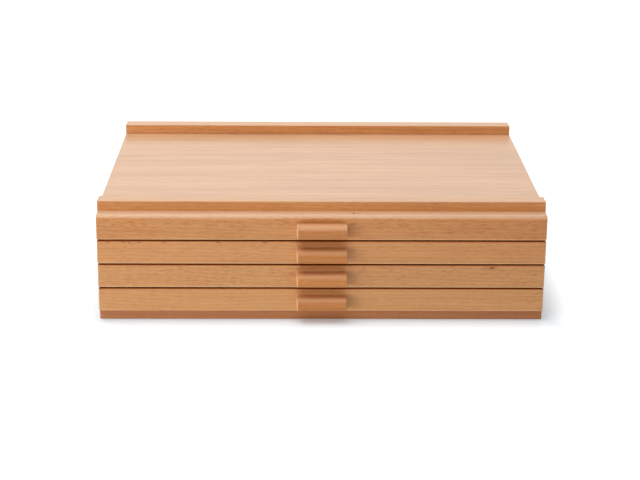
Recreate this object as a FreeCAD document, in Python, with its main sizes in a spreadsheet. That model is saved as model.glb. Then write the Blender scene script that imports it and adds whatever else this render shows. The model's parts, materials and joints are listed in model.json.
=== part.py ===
import FreeCAD
import Part
import Sketcher
import os

# Wooden art supply box: a case with four shallow drawers under a tray-like top.
# Frame: +X along the width, +Y to the rear, +Z up; the origin is the middle of the footprint.

DRAWERS = 4
DIVIDERS = 3
PULL_SCREW_SIDES = (-1, 1)
BASE_SCREWS_PER_SIDE = 4
BACK_PINS_PER_SIDE = 4
PINS_PER_RUNNER = 3
PINS_PER_WALL = 4
PINS_PER_BACK = 4
HANDS = {"left": -1, "right": 1}

# Driving sizes, in millimetres.
SIZES = (
    # the case
    ("case_width", "400"),
    ("case_depth", "280"),
    ("base_thick", "9"),
    ("base_setback", "4.5"),
    ("base_gap", "0.6"),
    ("side_thick", "12"),
    ("back_thick", "6"),
    ("rabbet_width", "6"),
    ("edge_round", "0.8"),
    # the tray-like top
    ("top_thick", "5"),
    ("lip_rise", "7.4"),
    ("rail_rise", "9.2"),
    ("strip_depth", "15.5"),
    ("skirt_thick", "6"),
    ("strip_round", "1"),
    # drawer fronts
    ("front_thick", "14"),
    ("front_height", "21.36"),
    ("front_gap", "1.2"),
    ("front_lap", "1.94"),
    ("front_inset", "0.1"),
    ("top_front_extra", "1.5"),
    ("front_round", "1"),
    ("top_front_round", "5"),
    # drawer boxes
    ("wall_thick", "8"),
    ("floor_thick", "3"),
    ("floor_inset", "0.5"),
    ("head_clear", "1.4"),
    ("side_clear", "0.8"),
    ("rear_clear", "2"),
    ("housing_depth", "5"),
    ("divider_thick", "5"),
    ("divider_drop", "1.5"),
    ("divider_housing", "2.5"),
    # runners on the case sides, in the grooves of the drawer walls
    ("runner_height", "4.6"),
    ("runner_groove", "4"),
    ("runner_end_clear", "0.4"),
    ("runner_slip", "0.25"),
    ("runner_setback", "6"),
    # pulls
    ("pull_width", "45"),
    ("pull_depth", "12"),
    ("pull_height", "11.3"),
    ("pull_lift", "4.5"),
    ("pull_round", "6"),
    ("pull_edge", "1"),
    ("pull_screw_reach", "12"),
    # screws and pins
    ("screw_head", "7"),
    ("screw_head_deep", "2.6"),
    ("screw_shank", "3.4"),
    ("screw_tip", "3"),
    ("base_screw_length", "30"),
    ("pull_screw_bite", "6"),
    ("pin_thick", "1.4"),
    ("floor_pin_bite", "7"),
    ("corner_pin_bite", "9"),
    ("back_pin_bite", "9"),
    ("runner_pin_bite", "6"),
)

# Places and sizes that follow from the driving sizes.
LAYOUT = (
    ("face_y", "(Sizes.pull_depth - Sizes.case_depth) / 2"),
    ("carcass_y", "(Sizes.pull_depth - Sizes.case_depth) / 2 + Sizes.front_thick"),
    ("rear_y", "(Sizes.pull_depth + Sizes.case_depth) / 2"),
    ("carcass_depth", "Sizes.case_depth - Sizes.front_thick"),
    ("half_width", "Sizes.case_width / 2"),
    ("inner_half", "Sizes.case_width / 2 - Sizes.side_thick"),
    ("front_half", "Sizes.case_width / 2 - Sizes.front_inset"),
    ("pitch", "Sizes.front_height + Sizes.front_gap"),
    ("drawer_z", "Sizes.base_thick + Sizes.base_gap"),
    ("side_height", f"Sizes.base_gap + {DRAWERS} * pitch - Sizes.front_gap - Sizes.front_lap"),
    ("top_under", "Sizes.base_thick + side_height"),
    ("box_half", "inner_half - Sizes.side_clear"),
    ("box_length", "carcass_depth - Sizes.back_thick - Sizes.rear_clear"),
    ("bay_half", "box_half - Sizes.wall_thick"),
    ("bay_length", "box_length - Sizes.wall_thick"),
    ("wall_z", "Sizes.floor_inset + Sizes.floor_thick"),
    ("wall_height", "Sizes.front_height - Sizes.front_lap - wall_z - Sizes.head_clear"),
    ("divider_height", "wall_height - Sizes.divider_drop"),
    ("groove_half", "Sizes.runner_height / 2 + Sizes.runner_slip"),
    ("runner_reach", "Sizes.side_clear + Sizes.runner_groove - Sizes.runner_end_clear"),
    ("runner_length", "carcass_depth - Sizes.back_thick - Sizes.runner_setback"),
    ("wall_web", "Sizes.wall_thick - Sizes.runner_groove"),
)

doc = FreeCAD.newDocument("ArtSupplyBox")
nodes = []


def make_sheet(name, rows, lead):
    """Write one named value per row."""
    sheet = doc.addObject("Spreadsheet::Sheet", name)
    for row, (alias, content) in enumerate(rows, start=1):
        sheet.set(f"A{row}", alias)
        sheet.set(f"B{row}", lead + content)
        sheet.setAlias(f"B{row}", alias)
    doc.recompute()


def place(thing, x="0", y="0", z="0"):
    """Tie a piece's place to the named values."""
    thing.setExpression("Placement.Base.x", x)
    thing.setExpression("Placement.Base.y", y)
    thing.setExpression("Placement.Base.z", z)


def keep(thing, name):
    """Name a finished sub-part and list it for writing."""
    thing.Label = name
    nodes.append(thing)
    return thing


def new_body(name):
    return doc.addObject("PartDesign::Body", name)


def new_sketch(body, name, role):
    """Start a sketch on one of the body's own origin planes."""
    plane = next(item for item in body.Origin.OriginFeatures if item.Role == role)
    sketch = body.newObject("Sketcher::SketchObject", name)
    sketch.AttachmentSupport = [(plane, "")]
    sketch.MapMode = "FlatFace"
    return sketch


def outline(sketch, corners):
    """Draw a closed outline whose corners are pairs of expressions."""
    first = sketch.GeometryCount
    count = len(corners)
    points = []
    for across, up in corners:
        start_x = float(sketch.evalExpression(across))
        start_y = float(sketch.evalExpression(up))
        points.append(FreeCAD.Vector(start_x, start_y, 0))
    for index in range(count):
        sketch.addGeometry(Part.LineSegment(points[index], points[(index + 1) % count]))
    for index in range(count):
        follower = first + (index + 1) % count
        sketch.addConstraint(Sketcher.Constraint("Coincident", first + index, 2, follower, 1))
    for index, (across, up) in enumerate(corners):
        start = points[index]
        for kind, value, length in (("DistanceX", across, start.x), ("DistanceY", up, start.y)):
            number = sketch.addConstraint(Sketcher.Constraint(kind, -1, 1, first + index, 1, length))
            sketch.setExpression(f"Constraints[{number}]", value)


def rectangle(sketch, left, right, low, high):
    outline(sketch, ((left, low), (right, low), (right, high), (left, high)))


def pad(body, sketch, length, backward=False, symmetric=False):
    feature = body.newObject("PartDesign::Pad", sketch.Name + "_pad")
    feature.Profile = sketch
    feature.setExpression("Length", length)
    feature.Reversed = backward
    if symmetric:
        feature.SideType = "Symmetric"
    sketch.Visibility = False
    doc.recompute()
    return feature


def pocket(body, sketch, length, backward=False):
    """Cut a sketch into the body and make sure that it took wood away."""
    before = body.Shape.Volume
    feature = body.newObject("PartDesign::Pocket", sketch.Name + "_cut")
    feature.Profile = sketch
    feature.setExpression("Length", length)
    feature.Reversed = backward
    sketch.Visibility = False
    doc.recompute()
    if body.Shape.Volume >= before:
        raise RuntimeError(f"{sketch.Name} cuts nothing")
    return feature


def soften(body, name, radius, wanted):
    """Round the edges of the body whose middle and direction the rule accepts."""
    chosen = []
    base = body.Tip
    shape = base.Shape
    bounds = FreeCAD.BoundBox()
    for vertex in shape.Vertexes:
        bounds.add(vertex.Point)
    for number, edge in enumerate(shape.Edges, start=1):
        if edge.Curve.TypeId != "Part::GeomLine":
            continue
        along = edge.Vertexes[-1].Point - edge.Vertexes[0].Point
        if wanted(edge.CenterOfMass, along, bounds):
            chosen.append(f"Edge{number}")
    if not chosen:
        raise RuntimeError(f"{name} finds no edge")
    feature = body.newObject("PartDesign::Fillet", name)
    feature.Base = (base, chosen)
    feature.setExpression("Radius", radius)
    doc.recompute()
    return feature


def close(one, other):
    return abs(one - other) < 1e-4


def drill(blank, fasteners, name):
    """Take the fasteners' own shapes out of a blank."""
    if len(fasteners) == 1:
        tool = fasteners[0]
    else:
        tool = doc.addObject("Part::Compound", name + "_fasteners")
        tool.Links = list(fasteners)
    cut = doc.addObject("Part::Cut", name)
    cut.Base = blank
    cut.Tool = tool
    return keep(cut, name)


def group(members, name):
    """Put like pieces together as one sub-part of separate solids."""
    compound = doc.addObject("Part::Compound", name)
    compound.Links = members
    return compound


def box(name, length, width, height, x, y, z):
    block = doc.addObject("Part::Box", name)
    block.setExpression("Length", length)
    block.setExpression("Width", width)
    block.setExpression("Height", height)
    place(block, x, y, z)
    return block


# Turns that point a fastener, which is drawn along +Z, the other ways.
UPWARD = FreeCAD.Rotation()
FORWARD = FreeCAD.Rotation(FreeCAD.Vector(1, 0, 0), 90)
SIDEWAYS = {
    -1: FreeCAD.Rotation(FreeCAD.Vector(0, 1, 0), -90),
    1: FreeCAD.Rotation(FreeCAD.Vector(0, 1, 0), 90),
}


def turn(thing, rotation):
    thing.Placement = FreeCAD.Placement(FreeCAD.Vector(), rotation)


def pin(name, length, rotation, x, y, z):
    """A plain headless pin."""
    shank = doc.addObject("Part::Cylinder", name)
    shank.setExpression("Radius", "Sizes.pin_thick / 2")
    shank.setExpression("Height", length)
    turn(shank, rotation)
    place(shank, x, y, z)
    return shank


def screw(name, length, rotation, x, y, z):
    """A countersunk wood screw with its head flush at the given place."""
    head = doc.addObject("Part::Cone", name + "_head")
    head.setExpression("Radius1", "Sizes.screw_head / 2")
    head.setExpression("Radius2", "Sizes.screw_shank / 2")
    head.setExpression("Height", "Sizes.screw_head_deep")
    shank = doc.addObject("Part::Cylinder", name + "_shank")
    shank.setExpression("Radius", "Sizes.screw_shank / 2")
    shank.setExpression("Height", f"{length} - Sizes.screw_head_deep - Sizes.screw_tip")
    shank.setExpression("Placement.Base.z", "Sizes.screw_head_deep")
    tip = doc.addObject("Part::Cone", name + "_tip")
    tip.setExpression("Radius1", "Sizes.screw_shank / 2")
    tip.setExpression("Radius2", "Sizes.screw_shank / 8")
    tip.setExpression("Height", "Sizes.screw_tip")
    tip.setExpression("Placement.Base.z", f"{length} - Sizes.screw_tip")
    whole = doc.addObject("Part::MultiFuse", name)
    whole.Shapes = [head, shank, tip]
    turn(whole, rotation)
    place(whole, x, y, z)
    return whole


def spread(start, length, index, count):
    """Place number index of count, evenly shared out over a length."""
    return f"{start} + {length} * {(2 * index + 1) / (2 * count)}"


def case_fasteners():
    """Screws up through the base, pins through the back and through the runners."""
    screws = []
    back_pins = []
    runner_pins = []
    for side, hand in HANDS.items():
        for index in range(BASE_SCREWS_PER_SIDE):
            y = spread("Layout.carcass_y", "Layout.carcass_depth", index, BASE_SCREWS_PER_SIDE)
            x = f"{hand} * (Layout.half_width - Sizes.side_thick / 2)"
            screws.append(screw(f"base_screw_{side}_{index}", "Sizes.base_screw_length", UPWARD, x, y, "0"))
        for index in range(BACK_PINS_PER_SIDE):
            x = f"{hand} * (Layout.inner_half + Sizes.rabbet_width / 2)"
            z = spread("Sizes.base_thick", "Layout.side_height", index, BACK_PINS_PER_SIDE)
            length = "Sizes.back_thick + Sizes.back_pin_bite"
            back_pins.append(pin(f"back_pin_{side}_{index}", length, FORWARD, x, "Layout.rear_y", z))
        for level in range(DRAWERS):
            z = f"Layout.drawer_z + {level} * Layout.pitch + Layout.wall_z + Layout.wall_height / 2"
            for index in range(PINS_PER_RUNNER):
                x = f"{hand} * (Layout.inner_half - Layout.runner_reach)"
                front = "Layout.carcass_y + Sizes.runner_setback"
                y = spread(front, "Layout.runner_length", index, PINS_PER_RUNNER)
                length = "Layout.runner_reach + Sizes.runner_pin_bite"
                name = f"runner_pin_{side}_{level}_{index}"
                runner_pins.append(pin(name, length, SIDEWAYS[hand], x, y, z))
    return (
        keep(group(screws, "base_screws"), "base_screws"),
        keep(group(back_pins, "back_pins"), "back_pins"),
        keep(group(runner_pins, "runner_pins"), "runner_pins"),
    )


def make_base(screws):
    body = new_body("base_blank")
    sketch = new_sketch(body, "base_plan", "XY_Plane")
    rectangle(sketch, "-Layout.half_width", "Layout.half_width", "0", "Sizes.case_depth - Sizes.base_setback")
    pad(body, sketch, "Sizes.base_thick")
    place(body, y="Layout.face_y + Sizes.base_setback")

    def lower_rim(middle, along, bounds):
        return close(middle.z, bounds.ZMin)

    soften(body, "base_lower_edges", "Sizes.edge_round", lower_rim)
    drill(body, (screws,), "base_panel")


def make_side(side, hand, fasteners):
    """One side of the case, rabbeted at the rear for the back."""
    body = new_body(f"{side}_side_blank")
    inner = f"{hand} * Layout.inner_half"
    outer = f"{hand} * Layout.half_width"
    section = new_sketch(body, f"{side}_side_section", "XZ_Plane")
    rectangle(section, inner, outer, "0", "Layout.side_height")
    pad(body, section, "Layout.carcass_depth", backward=True)
    rabbet = new_sketch(body, f"{side}_side_rabbet", "XY_Plane")
    shoulder = f"{hand} * (Layout.inner_half + Sizes.rabbet_width)"
    rectangle(rabbet, inner, shoulder, "Layout.carcass_depth - Sizes.back_thick", "Layout.carcass_depth")
    pocket(body, rabbet, "Layout.side_height", backward=True)
    place(body, y="Layout.carcass_y", z="Sizes.base_thick")

    def outer_uprights(middle, along, bounds):
        outermost = bounds.XMax if hand > 0 else bounds.XMin
        return close(middle.x, outermost) and close(along.x, 0) and close(along.y, 0)

    soften(body, f"{side}_side_edges", "Sizes.edge_round", outer_uprights)
    drill(body, fasteners, f"{side}_side_panel")


def make_runners(side, hand, pins):
    """The four strips on one side on which the drawers run."""
    strips = []
    for level in range(DRAWERS):
        middle = f"Layout.drawer_z + {level} * Layout.pitch + Layout.wall_z + Layout.wall_height / 2"
        near = "Layout.inner_half - Layout.runner_reach" if hand > 0 else "-Layout.inner_half"
        strips.append(box(
            f"{side}_runner_{level}", "Layout.runner_reach", "Layout.runner_length", "Sizes.runner_height",
            near, "Layout.carcass_y + Sizes.runner_setback", f"{middle} - Sizes.runner_height / 2"))
    drill(group(strips, f"{side}_runner_strips"), (pins,), f"{side}_runners")


def make_back(pins):
    body = new_body("back_blank")
    sketch = new_sketch(body, "back_face", "XZ_Plane")
    reach = "Layout.inner_half + Sizes.rabbet_width"
    rectangle(sketch, f"-({reach})", reach, "0", "Layout.side_height")
    pad(body, sketch, "Sizes.back_thick")
    place(body, y="Layout.rear_y", z="Sizes.base_thick")
    drill(body, (pins,), "back_panel")


def make_top():
    body = new_body("top_panel")
    sketch = new_sketch(body, "top_plan", "XY_Plane")
    length = "Layout.carcass_depth - 2 * Sizes.skirt_thick"
    rectangle(sketch, "-Layout.half_width", "Layout.half_width", "0", length)
    pad(body, sketch, "Sizes.top_thick")
    place(body, y="Layout.carcass_y + Sizes.skirt_thick", z="Layout.top_under")
    keep(body, "top_panel")


def make_strip(name, y, facing, rise):
    """An edge strip across the top whose skirt covers the edge of the top panel.

    Its outer face is the plane at y, and facing is the way in to the tray along Y.
    """
    body = new_body(name)
    section = new_sketch(body, f"{name}_section", "YZ_Plane")
    skirt = f"{facing} * Sizes.skirt_thick"
    depth = f"{facing} * Sizes.strip_depth"
    crest = f"Sizes.top_thick + {rise}"
    outline(section, (
        ("0", "0"), (skirt, "0"), (skirt, "Sizes.top_thick"),
        (depth, "Sizes.top_thick"), (depth, crest), ("0", crest)))
    pad(body, section, "Sizes.case_width", symmetric=True)
    place(body, y=y, z="Layout.top_under")

    def crest_edges(middle, along, bounds):
        return close(middle.z, bounds.ZMax)

    soften(body, f"{name}_crest", "Sizes.strip_round", crest_edges)
    keep(body, name)


def make_front(tag, level_z, height, top_round, screws):
    """A drawer front, housed at the back for the walls, the floor and the dividers."""
    body = new_body(f"{tag}_front_blank")
    face = new_sketch(body, f"{tag}_front_face", "XZ_Plane")
    rectangle(face, "-Layout.front_half", "Layout.front_half", "0", height)
    pad(body, face, "Sizes.front_thick")
    housings = new_sketch(body, f"{tag}_front_housings", "XZ_Plane")
    crest = "Layout.wall_z + Layout.wall_height"
    outline(housings, (
        ("-Layout.box_half", "Sizes.floor_inset"), ("Layout.box_half", "Sizes.floor_inset"),
        ("Layout.box_half", crest), ("Layout.bay_half", crest),
        ("Layout.bay_half", "Layout.wall_z"), ("-Layout.bay_half", "Layout.wall_z"),
        ("-Layout.bay_half", crest), ("-Layout.box_half", crest)))
    pocket(body, housings, "Sizes.housing_depth", backward=True)
    slots = new_sketch(body, f"{tag}_front_slots", "XZ_Plane")
    for index in range(DIVIDERS):
        middle = divider_middle(index)
        rectangle(
            slots, f"{middle} - Sizes.divider_thick / 2", f"{middle} + Sizes.divider_thick / 2",
            "Layout.wall_z", "Layout.wall_z + Layout.divider_height")
    pocket(body, slots, "Sizes.divider_housing", backward=True)
    place(body, y="Layout.carcass_y", z=level_z)

    def upper_arris(middle, along, bounds):
        return close(middle.z, bounds.ZMax) and close(middle.y, bounds.YMin)

    def other_arrises(middle, along, bounds):
        return close(middle.y, bounds.YMin) and (close(middle.z, bounds.ZMin) or close(along.x, 0))

    soften(body, f"{tag}_front_upper", top_round, upper_arris)
    soften(body, f"{tag}_front_rim", "Sizes.front_round", other_arrises)
    drill(body, (screws,), f"{tag}_front")


def make_pull(tag, level_z, screws):
    """A plain block pull, well rounded along its upper front edge."""
    body = new_body(f"{tag}_pull_blank")
    face = new_sketch(body, f"{tag}_pull_face", "XZ_Plane")
    rectangle(face, "-Sizes.pull_width / 2", "Sizes.pull_width / 2", "0", "Sizes.pull_height")
    pad(body, face, "Sizes.pull_depth")
    place(body, y="Layout.face_y", z=f"{level_z} + Sizes.pull_lift")

    def upper_arris(middle, along, bounds):
        return close(middle.z, bounds.ZMax) and close(middle.y, bounds.YMin)

    def other_arrises(middle, along, bounds):
        return close(middle.y, bounds.YMin) and (close(middle.z, bounds.ZMin) or close(along.x, 0))

    soften(body, f"{tag}_pull_upper", "Sizes.pull_round", upper_arris)
    soften(body, f"{tag}_pull_rim", "Sizes.pull_edge", other_arrises)
    drill(body, (screws,), f"{tag}_pull")


def divider_middle(index):
    """Middle of a divider across the drawer, with all compartments equally wide."""
    share = 2 * (index + 1) / (DIVIDERS + 1) - 1
    return f"{share} * (Layout.bay_half + Sizes.divider_thick / 2)"


def make_wall(tag, side, hand, level_z, pins):
    """A drawer side wall with the groove for its runner."""
    body = new_body(f"{tag}_{side}_blank")
    section = new_sketch(body, f"{tag}_{side}_section", "XZ_Plane")
    outer = f"{hand} * Layout.box_half"
    inner = f"{hand} * Layout.bay_half"
    web = f"{hand} * (Layout.box_half - Sizes.runner_groove)"
    groove_low = "Layout.wall_height / 2 - Layout.groove_half"
    groove_high = "Layout.wall_height / 2 + Layout.groove_half"
    outline(section, (
        (inner, "0"), (outer, "0"),
        (outer, groove_low), (web, groove_low), (web, groove_high), (outer, groove_high),
        (outer, "Layout.wall_height"), (inner, "Layout.wall_height")))
    pad(body, section, "Layout.box_length + Sizes.housing_depth", backward=True)
    place(body, y="Layout.carcass_y - Sizes.housing_depth", z=f"{level_z} + Layout.wall_z")
    drill(body, (pins,), f"{tag}_{side}_wall")


def make_back_wall(tag, level_z, pins):
    """The rear wall of a drawer, slotted for the dividers."""
    body = new_body(f"{tag}_back_blank")
    face = new_sketch(body, f"{tag}_back_face", "XZ_Plane")
    rectangle(face, "-Layout.bay_half", "Layout.bay_half", "0", "Layout.wall_height")
    pad(body, face, "Sizes.wall_thick", backward=True)
    slots = new_sketch(body, f"{tag}_back_slots", "XZ_Plane")
    for index in range(DIVIDERS):
        middle = divider_middle(index)
        rectangle(
            slots, f"{middle} - Sizes.divider_thick / 2", f"{middle} + Sizes.divider_thick / 2",
            "0", "Layout.divider_height")
    pocket(body, slots, "Sizes.divider_housing")
    place(body, y="Layout.carcass_y + Layout.bay_length", z=f"{level_z} + Layout.wall_z")
    drill(body, (pins,), f"{tag}_back_wall")


def make_floor(tag, level_z, pins):
    body = new_body(f"{tag}_floor_blank")
    plan = new_sketch(body, f"{tag}_floor_plan", "XY_Plane")
    rectangle(plan, "-Layout.box_half", "Layout.box_half", "-Sizes.housing_depth", "Layout.box_length")
    pad(body, plan, "Sizes.floor_thick")
    place(body, y="Layout.carcass_y", z=f"{level_z} + Sizes.floor_inset")
    drill(body, (pins,), f"{tag}_floor")


def make_dividers(tag, level_z):
    strips = []
    for index in range(DIVIDERS):
        strips.append(box(
            f"{tag}_divider_{index}", "Sizes.divider_thick",
            "Layout.bay_length + 2 * Sizes.divider_housing", "Layout.divider_height",
            f"{divider_middle(index)} - Sizes.divider_thick / 2",
            "Layout.carcass_y - Sizes.divider_housing", f"{level_z} + Layout.wall_z"))
    keep(group(strips, f"{tag}_dividers"), f"{tag}_dividers")


def drawer_pins(tag, level_z):
    """Pins up through the floor into the walls, and through the side walls into the rear wall."""
    pins = []
    low = f"{level_z} + Sizes.floor_inset"
    floor_pin = "Sizes.floor_thick + Sizes.floor_pin_bite"
    corner_pin = "Sizes.wall_thick + Sizes.corner_pin_bite"
    rear_y = "Layout.carcass_y + Layout.box_length - Sizes.wall_thick / 2"
    for side, hand in HANDS.items():
        x = f"{hand} * (Layout.bay_half + Layout.wall_web / 2)"
        for index in range(PINS_PER_WALL):
            y = spread("Layout.carcass_y", "Layout.bay_length", index, PINS_PER_WALL)
            pins.append(pin(f"{tag}_pin_{side}_{index}", floor_pin, UPWARD, x, y, low))
        for place_name, share in (("low", 1 / 6), ("high", 5 / 6)):
            z = f"{level_z} + Layout.wall_z + Layout.wall_height * {share}"
            name = f"{tag}_corner_pin_{side}_{place_name}"
            pins.append(pin(name, corner_pin, SIDEWAYS[-hand], f"{hand} * Layout.box_half", rear_y, z))
    for index in range(PINS_PER_BACK):
        x = spread("-Layout.bay_half", "2 * Layout.bay_half", index, PINS_PER_BACK)
        pins.append(pin(f"{tag}_pin_back_{index}", floor_pin, UPWARD, x, rear_y, low))
    return keep(group(pins, f"{tag}_pins"), f"{tag}_pins")


def pull_screws(tag, level_z):
    """Screws from inside the drawer through the front into the pull."""
    screws = []
    z = f"{level_z} + Sizes.pull_lift + Sizes.pull_height / 2"
    for hand in PULL_SCREW_SIDES:
        name = f"{tag}_pull_screw_{'left' if hand < 0 else 'right'}"
        length = "Sizes.front_thick + Sizes.pull_screw_bite"
        screws.append(screw(name, length, FORWARD, f"{hand} * Sizes.pull_screw_reach", "Layout.carcass_y", z))
    return keep(group(screws, f"{tag}_pull_screws"), f"{tag}_pull_screws")


def make_drawer(number):
    """Drawer 1 is the uppermost, and its front is a little taller, with a softer upper edge."""
    tag = f"drawer_{number}"
    level_z = f"Layout.drawer_z + {DRAWERS - number} * Layout.pitch"
    height = "Sizes.front_height"
    top_round = "Sizes.front_round"
    if number == 1:
        height = "Sizes.front_height + Sizes.top_front_extra"
        top_round = "Sizes.top_front_round"
    pins = drawer_pins(tag, level_z)
    screws = pull_screws(tag, level_z)
    make_front(tag, level_z, height, top_round, screws)
    make_pull(tag, level_z, screws)
    for side, hand in HANDS.items():
        make_wall(tag, side, hand, level_z, pins)
    make_back_wall(tag, level_z, pins)
    make_floor(tag, level_z, pins)
    make_dividers(tag, level_z)


def check_and_write():
    """Make sure that every feature is sound, then write one file per sub-part."""
    doc.recompute()
    for thing in doc.Objects:
        if "Invalid" in thing.State or "Error" in thing.State:
            raise RuntimeError(f"{thing.Label} is {thing.State}")
    os.makedirs("parts", exist_ok=True)
    for thing in nodes:
        if thing.Shape.isNull() or not thing.Shape.isValid() or not thing.Shape.Solids:
            raise RuntimeError(f"{thing.Label} has no sound shape")
        thing.Shape.exportStep(f"parts/{thing.Label}.step")


make_sheet("Sizes", SIZES, "")
make_sheet("Layout", LAYOUT, "=")
base_screws, back_pins, runner_pins = case_fasteners()
make_base(base_screws)
for side_name, side_hand in HANDS.items():
    make_side(side_name, side_hand, (base_screws, back_pins, runner_pins))
    make_runners(side_name, side_hand, runner_pins)
make_back(back_pins)
make_top()
make_strip("front_lip", "Layout.carcass_y", 1, "Sizes.lip_rise")
make_strip("rear_rail", "Layout.rear_y", -1, "Sizes.rail_rise")
for drawer_number in range(1, DRAWERS + 1):
    make_drawer(drawer_number)
check_and_write()
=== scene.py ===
import json
import math
from dataclasses import dataclass

import bmesh
import bpy
from bpy.props import FloatProperty, FloatVectorProperty, PointerProperty
from mathutils import Matrix, Vector


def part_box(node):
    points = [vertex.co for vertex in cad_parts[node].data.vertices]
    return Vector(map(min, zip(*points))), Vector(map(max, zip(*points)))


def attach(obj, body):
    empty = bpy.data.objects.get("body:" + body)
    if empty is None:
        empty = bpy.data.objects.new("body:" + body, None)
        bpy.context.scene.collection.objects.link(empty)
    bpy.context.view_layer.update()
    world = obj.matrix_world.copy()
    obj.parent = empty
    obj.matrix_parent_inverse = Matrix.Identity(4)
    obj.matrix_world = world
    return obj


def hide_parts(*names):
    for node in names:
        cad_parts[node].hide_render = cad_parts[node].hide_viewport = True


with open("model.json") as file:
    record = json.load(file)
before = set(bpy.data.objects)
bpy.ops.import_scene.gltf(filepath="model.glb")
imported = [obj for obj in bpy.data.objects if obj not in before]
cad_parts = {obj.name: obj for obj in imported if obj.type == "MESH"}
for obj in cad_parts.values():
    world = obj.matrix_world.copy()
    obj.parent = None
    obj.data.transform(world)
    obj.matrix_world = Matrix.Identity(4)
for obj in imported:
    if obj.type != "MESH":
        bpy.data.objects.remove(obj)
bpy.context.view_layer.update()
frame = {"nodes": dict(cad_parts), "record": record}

bl_info = {
    "name": "Wooden art supply box",
    "version": (1, 0, 0),
    "blender": (4, 5, 0),
    "location": "View3D > Sidebar > Art Box",
    "description": "Finishes the boards, pulls and fasteners of a four-drawer art supply box and lights it",
    "category": "Object",
}

BODIES = frame["record"]["behaviour"]["bodies"]
SLOTS = {row["node"]: row["material_slot"] for row in frame["record"]["subparts"]}
DRAWERS = sorted(name for name in BODIES if name.startswith("drawer_"))
TOP_DRAWER = DRAWERS[0]
MM = 0.001
X, Y, Z = range(3)


# Properties that a user would change

def tone(name, description, default):
    return FloatVectorProperty(
        name=name, description=description, default=default, subtype="COLOR", size=3, min=0, max=1)


def share(name, description, default, low=0.0):
    return FloatProperty(
        name=name, description=description, default=default, min=low, max=1, subtype="FACTOR")


def length(name, description, default, low, high):
    return FloatProperty(
        name=name, description=description, default=default, min=low, max=high, unit="LENGTH")


def angle(name, description, default):
    return FloatProperty(name=name, description=description, default=default, unit="ROTATION")


def amount(name, description, default):
    return FloatProperty(name=name, description=description, default=default, min=0)


class WoodLook(bpy.types.PropertyGroup):
    front_light: tone("Front, light", "Pale tone of the drawer fronts", (0.745, 0.350, 0.130))
    front_dark: tone("Front, dark", "Deep tone of the drawer fronts", (0.560, 0.222, 0.068))
    top_light: tone("Top, light", "Pale tone of the top panel's veneer", (0.765, 0.455, 0.250))
    top_dark: tone("Top, dark", "Deep tone of the top panel's veneer", (0.520, 0.245, 0.105))
    box_light: tone("Drawer box, light", "Pale tone of the wood inside the drawers", (0.75, 0.525, 0.315))
    box_dark: tone("Drawer box, dark", "Deep tone of the wood inside the drawers", (0.60, 0.385, 0.205))
    ply_light: tone("Plywood, light", "Pale tone of the plywood", (0.79, 0.505, 0.275))
    ply_dark: tone("Plywood, dark", "Deep tone of the plywood", (0.65, 0.378, 0.188))
    fleck: tone("Fleck", "Colour of the short ray flecks", (0.46, 0.122, 0.024))
    knot: tone("Knot", "Colour of the pin knots", (0.24, 0.055, 0.010))
    steel: tone("Steel", "Colour of the screws and pins", (0.60, 0.58, 0.53))
    # Painted highlight: paler tones for upward faces, standing in for the overhead light on the top panel,
    # its strips, the top front's rounded top edge and the tops of the pulls
    top_sheen: tone("Faded", "Tone that the top panel and its strips are bleached towards", (0.86, 0.64, 0.44))
    crest_highlight: tone("Crest", "Tone that the top front's rounded edge is bleached towards", (0.86, 0.73, 0.56))
    pull_top_highlight: tone("Thumbed", "Tone that the tops of the pulls are bleached towards", (0.92, 0.60, 0.34))
    # Partly from rubbing, partly painted highlight: the tone that arrises are paled towards; also painted
    # light in patches beside the pulls
    rubbed: tone("Rubbed", "Tone that rubbed arrises are bleached towards", (0.97, 0.60, 0.31))
    # Painted shade: the tone of faces seen only in the shaded lines between the fronts
    stained: tone("Stained", "Tone of the faces in the lines between the fronts", (0.40, 0.10, 0.008))
    # Painted shade: the tone above a pull, where the pull's shadow falls
    handled: tone("Handled", "Tone of the wood above a pull, darkened by hands", (0.36, 0.115, 0.018))
    # Painted highlight: how far upward faces and the tops of the pulls are paled
    upper_highlight_share: share("Upper share", "How far open upper faces are bleached", 0.34)
    pull_top_highlight_share: share("Thumb share", "How far the tops of the pulls are bleached", 0.28)
    # Partly from rubbing, partly painted highlight: how far arrises are paled
    edge_wear_and_highlight: share("Wear", "How far rubbed arrises are bleached", 0.30)
    # Painted shade: how far faces in the lines between the fronts are darkened
    gap_shade_over: share("Over share", "How far upper faces between the fronts are stained", 0.85)
    gap_shade_under: share("Under share", "How far lower faces between the fronts are stained", 0.85)
    # Painted shade: how far the wood above a pull is darkened
    pull_shade_share: share("Hand stain", "How far the wood above a pull is darkened", 0.36)
    wood_specular: share("Wood sheen", "Sheen of the wood under the lacquer", 0.25)
    lacquer: share("Lacquer", "How thickly the satin lacquer lies on the outside", 0.8)
    lacquer_roughness: share("Lacquer roughness", "Roughness of the satin lacquer", 0.22, 0.05)
    sealed_roughness: share("Sealed roughness", "Roughness of the wood under the lacquer", 0.42, 0.05)
    bare_roughness: share("Bare roughness", "Roughness of sanded wood with no lacquer", 0.62, 0.05)
    ring_spacing: length("Ring spacing", "Mean distance between growth rings", 3.6 * MM, 0.001, 0.02)
    arris: length("Arris", "Width of the sanded edge of a board", 0.45 * MM, 0.0001, 0.003)
    recess_width: length("Recess width", "Width of a screw head's cross recess", 3.8 * MM, 0.001, 0.006)
    recess_bar: length("Recess bar", "Thickness of a bar of the cross recess", 0.9 * MM, 0.0002, 0.002)
    recess_depth: length("Recess depth", "Depth of the cross recess", 1.5 * MM, 0.0002, 0.0025)


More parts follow.
